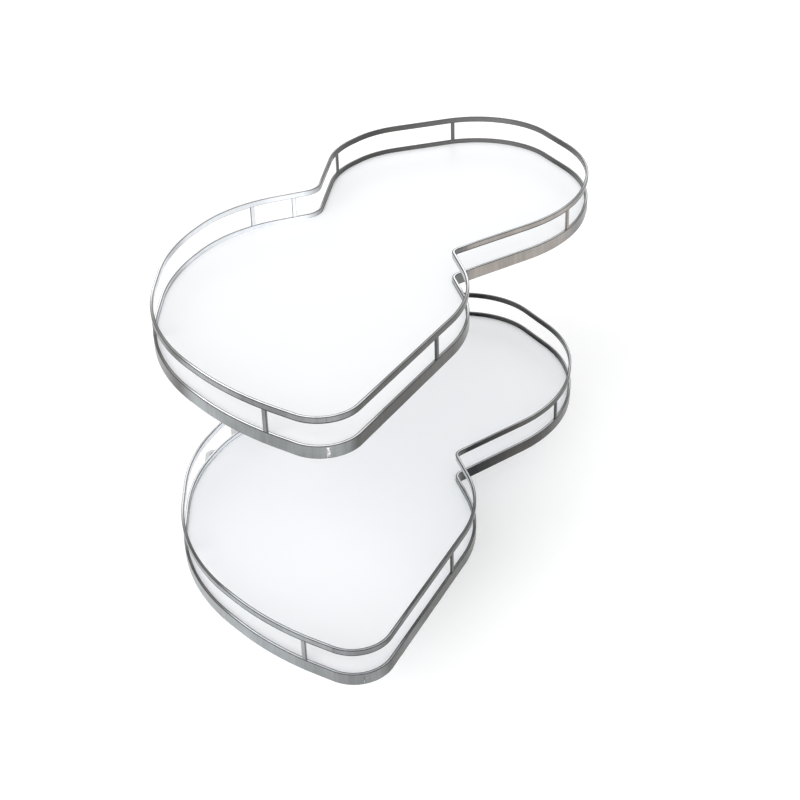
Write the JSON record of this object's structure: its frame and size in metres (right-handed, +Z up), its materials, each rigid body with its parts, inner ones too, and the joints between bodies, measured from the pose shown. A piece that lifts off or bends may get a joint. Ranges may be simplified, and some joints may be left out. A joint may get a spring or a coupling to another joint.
{
  "type": "corner cabinet carousel",
  "caption": "Swing-out unit for a blind corner cupboard: waisted trays with steel rails, stacked in tiers, each on a swivelling arm that turns on a shared post.",
  "frame": {"origin": "centre of the post, on the underside of the floor plate", "axes": "+Z up along the post, -Y out of the cupboard's door, +X from the hidden corner towards the door"},
  "size_m": [0.6124, 0.8827, 0.4882],
  "materials": {
    "satin_steel": "satin stainless steel, brushed along its length",
    "white_laminate": "chipboard faced with smooth white melamine, semi-matt",
    "silver_paint": "silver-grey powder coat, fine texture",
    "post_chrome": "chrome-plated steel tube",
    "dark_plastic": "moulded, fine grain",
    "bush_plastic": "pale acetal, machined smooth",
    "pin_steel": "turned and ground steel",
    "zinc_screws": "bright zinc plating",
    "black_steel": "black oxide",
    "rubber": "moulded rubber"
  },
  "bodies": {
    "base": {"floor_plate": "silver_paint", "post": "post_chrome", "post_cap": "dark_plastic", "wall_bracket": "silver_paint", "clamp_screws": "black_steel", "stop_buffers": "rubber", "collar_lower": "silver_paint", "collar_upper": "silver_paint", "keeper_ring": "silver_paint"},
    "lower_arm": {"arm_lower": "silver_paint", "arm_bushes_lower": "bush_plastic", "pivot_pin_lower": "pin_steel", "pin_clip_lower": "black_steel", "stop_pin_lower": "pin_steel"},
    "lower_tray": {"carrier_lower": "silver_paint", "pivot_bush_lower": "bush_plastic", "carrier_screws_lower": "zinc_screws", "board_lower": "white_laminate", "skirt_lower": "satin_steel", "rail_lower": "satin_steel", "spacers_lower": "satin_steel"},
    "upper_arm": {"arm_upper": "silver_paint", "arm_bushes_upper": "bush_plastic", "pivot_pin_upper": "pin_steel", "pin_clip_upper": "black_steel", "stop_pin_upper": "pin_steel"},
    "upper_tray": {"carrier_upper": "silver_paint", "pivot_bush_upper": "bush_plastic", "carrier_screws_upper": "zinc_screws", "board_upper": "white_laminate", "skirt_upper": "satin_steel", "rail_upper": "satin_steel", "spacers_upper": "satin_steel"}
  },
  "joints": [
    {"name": "lower_arm_swing", "type": "hinge", "parent": "base", "child": "lower_arm", "pos_m": [0, 0, 0.0432], "axis": [0, 0, 1], "range_deg": [0, 150]},
    {"name": "lower_tray_swivel", "type": "hinge", "parent": "lower_arm", "child": "lower_tray", "pos_m": [0.17845, -0.20528, 0.0832], "axis": [0, 0, 1], "range_deg": [-39.5, 2.5]},
    {"name": "upper_arm_swing", "type": "hinge", "parent": "base", "child": "upper_arm", "pos_m": [0, 0, 0.3682], "axis": [0, 0, 1], "range_deg": [0, 150]},
    {"name": "upper_tray_swivel", "type": "hinge", "parent": "upper_arm", "child": "upper_tray", "pos_m": [0.17845, -0.20528, 0.4082], "axis": [0, 0, 1], "range_deg": [-36, 6]}
  ]
}
